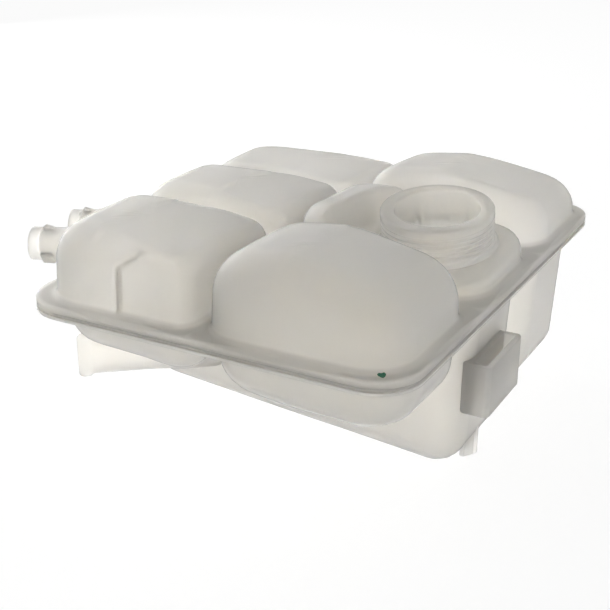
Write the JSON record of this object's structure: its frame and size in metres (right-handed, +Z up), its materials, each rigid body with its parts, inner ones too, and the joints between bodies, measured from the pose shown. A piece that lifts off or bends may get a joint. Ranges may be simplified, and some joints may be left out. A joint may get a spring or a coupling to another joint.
{
  "type": "coolant expansion tank",
  "caption": "Translucent moulded coolant expansion tank: domed cells over deep bowls, welded flange, threaded filler neck, hose stubs, outlet spigot and bracket socket.",
  "frame": {"origin": "middle of the mouth of the bracket socket's slot", "axes": "+Z up along the slot and the tank's shortest way, +Y to the back along its longest, +X to the right"},
  "size_m": [0.2221, 0.258, 0.1306],
  "materials": {
    "polypropylene": "natural translucent polypropylene, satin"
  },
  "bodies": {
    "root": {"upper_shell": "polypropylene", "lower_shell": "polypropylene"}
  },
  "joints": []
}
